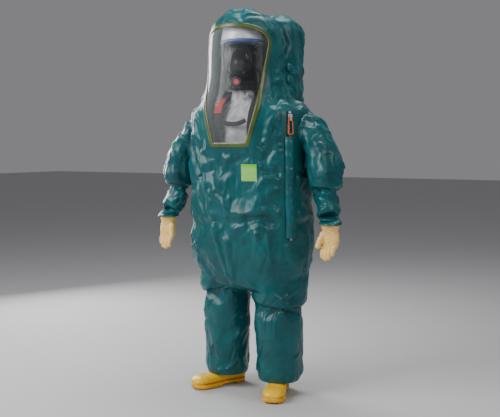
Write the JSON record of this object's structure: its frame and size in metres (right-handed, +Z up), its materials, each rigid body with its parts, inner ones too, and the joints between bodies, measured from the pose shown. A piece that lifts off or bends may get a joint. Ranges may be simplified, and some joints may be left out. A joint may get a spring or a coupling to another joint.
{
  "type": "chemical protective suit",
  "caption": "Fully encapsulating gas-tight protective suit with clear visor, hump over an air set, gloves and rubber boots, standing as worn.",
  "frame": {"origin": "on the floor under the middle of the suit's box", "axes": "+Z up; the wearer faces -Y; the wearer's left is +X"},
  "size_m": [1.008, 0.5106, 1.84],
  "materials": {
    "laminate": "glossy coated laminate, deep teal",
    "clear_sheet": "clear flexible sheet",
    "seam_tape": "olive welded tape",
    "glove_latex": "cream, satin",
    "boot_rubber": "yellow, satin",
    "sole_rubber": "yellow-brown, matte",
    "orange_webbing": "woven",
    "zip_tape_cloth": "woven",
    "zip_metal": "satin",
    "label_print": "printed patch",
    "valve_plastic": "satin",
    "black_rubber": "satin",
    "black_plate": "matte",
    "helmet_white": "glossy white",
    "trim_blue": "blue",
    "liner_grey": "woven grey",
    "black_cloth": "knitted black",
    "black_webbing": "woven black",
    "cylinder_paint": "dark wrap",
    "brass": "satin",
    "signal_red": "satin red"
  },
  "bodies": {
    "suit": {"hood_panel": "laminate", "hump_panel": "laminate", "front_panel": "laminate", "back_panel": "laminate", "seat_left": "laminate", "seat_right": "laminate", "visor_window": "clear_sheet", "mask_lens": "clear_sheet", "visor_border": "seam_tape", "zip_tape_front": "zip_tape_cloth", "zip_tape_side": "zip_tape_cloth", "zip_chain": "zip_metal", "zip_top_stop": "zip_metal", "zip_bottom_stop": "zip_metal", "chest_label": "label_print", "valve_housing_1": "valve_plastic", "valve_housing_2": "valve_plastic", "valve_housing_3": "valve_plastic", "valve_cap_1": "valve_plastic", "valve_cap_2": "valve_plastic", "valve_cap_3": "valve_plastic", "mask_facepiece": "black_rubber", "mask_nose_cup": "black_rubber", "demand_valve": "black_rubber", "back_plate": "black_plate", "helmet_shell": "helmet_white", "helmet_brim": "trim_blue", "liner_vest": "liner_grey", "neck_curtain": "black_cloth", "shoulder_strap_left": "black_webbing", "shoulder_strap_right": "black_webbing", "chest_strap": "black_webbing", "air_cylinder": "cylinder_paint", "cylinder_valve": "brass"},
    "upper_arm_left": {"upper_sleeve_left": "laminate"},
    "upper_arm_right": {"upper_sleeve_right": "laminate"},
    "forearm_left": {"forearm_sleeve_left": "laminate", "cuff_ring_left": "valve_plastic"},
    "forearm_right": {"forearm_sleeve_right": "laminate", "cuff_ring_right": "valve_plastic"},
    "hand_left": {"glove_left": "glove_latex"},
    "hand_right": {"glove_right": "glove_latex"},
    "shin_left": {"lower_leg_left": "laminate", "boot_left": "boot_rubber", "sole_left": "sole_rubber"},
    "shin_right": {"lower_leg_right": "laminate", "boot_right": "boot_rubber", "sole_right": "sole_rubber"},
    "slider": {"zip_slider": "zip_metal"},
    "puller": {"zip_puller": "orange_webbing"},
    "flap": {"storm_flap": "laminate"},
    "disc_1": {"valve_disc_1": "black_rubber"},
    "disc_2": {"valve_disc_2": "black_rubber"},
    "disc_3": {"valve_disc_3": "black_rubber"},
    "knob": {"valve_knob": "signal_red"},
    "button": {"demand_button": "signal_red"}
  },
  "joints": [
    {"name": "shoulder_left", "type": "hinge", "parent": "suit", "child": "upper_arm_left", "pos_m": [0.28, -0.0214, 1.262], "axis": [-1, 0, 0], "range_deg": [-15, 110]},
    {"name": "elbow_left", "type": "hinge", "parent": "upper_arm_left", "child": "forearm_left", "pos_m": [0.408, -0.0564, 0.964], "axis": [-1, 0, 0], "range_deg": [0, 70]},
    {"name": "wrist_left", "type": "hinge", "parent": "forearm_left", "child": "hand_left", "pos_m": [0.45, -0.1014, 0.843], "axis": [-1, 0, 0], "range_deg": [-20, 20]},
    {"name": "knee_left", "type": "hinge", "parent": "suit", "child": "shin_left", "pos_m": [0.147, 0.0536, 0.4], "axis": [1, 0, 0], "range_deg": [0, 60]},
    {"name": "shoulder_right", "type": "hinge", "parent": "suit", "child": "upper_arm_right", "pos_m": [-0.28, -0.0214, 1.262], "axis": [-1, 0, 0], "range_deg": [-15, 110]},
    {"name": "elbow_right", "type": "hinge", "parent": "upper_arm_right", "child": "forearm_right", "pos_m": [-0.408, -0.0564, 0.964], "axis": [-1, 0, 0], "range_deg": [0, 70]},
    {"name": "wrist_right", "type": "hinge", "parent": "forearm_right", "child": "hand_right", "pos_m": [-0.45, -0.1014, 0.843], "axis": [-1, 0, 0], "range_deg": [-20, 20]},
    {"name": "knee_right", "type": "hinge", "parent": "suit", "child": "shin_right", "pos_m": [-0.147, 0.0536, 0.4], "axis": [1, 0, 0], "range_deg": [0, 60]},
    {"name": "zip_slide", "type": "slide", "parent": "suit", "child": "slider", "axis": [0, 0.0302, -0.9995], "range_m": [0, 0.52]},
    {"name": "puller_swing", "type": "hinge", "parent": "slider", "child": "puller", "pos_m": [0.27709, -0.16226, 1.33051], "axis": [-0.6377, -0.7699, -0.0233], "range_deg": [0, 75]},
    {"name": "flap_lift", "type": "hinge", "parent": "suit", "child": "flap", "pos_m": [0.25452, -0.15924, 0.77435], "axis": [0, 0.0302, -0.9995], "range_deg": [0, 100]},
    {"name": "valve_lift_1", "type": "slide", "parent": "suit", "child": "disc_1", "axis": [0.926, -0.3776, 0], "range_m": [0, 0.0012], "stiffness_N_per_m": 60, "springref_m": -0.0004},
    {"name": "valve_lift_2", "type": "slide", "parent": "suit", "child": "disc_2", "axis": [0.926, -0.3776, 0], "range_m": [0, 0.0012], "stiffness_N_per_m": 60, "springref_m": -0.0004},
    {"name": "valve_lift_3", "type": "slide", "parent": "suit", "child": "disc_3", "axis": [0.926, -0.3776, 0], "range_m": [0, 0.0012], "stiffness_N_per_m": 60, "springref_m": -0.0004},
    {"name": "knob_turn", "type": "hinge", "parent": "suit", "child": "knob", "pos_m": [0.04, 0.1866, 1.03], "axis": [1, 0, 0], "range_deg": [0, 720]},
    {"name": "button_press", "type": "slide", "parent": "suit", "child": "button", "axis": [-0.2079, 0.9781, 0], "range_m": [0, 0.003], "stiffness_N_per_m": 400}
  ]
}
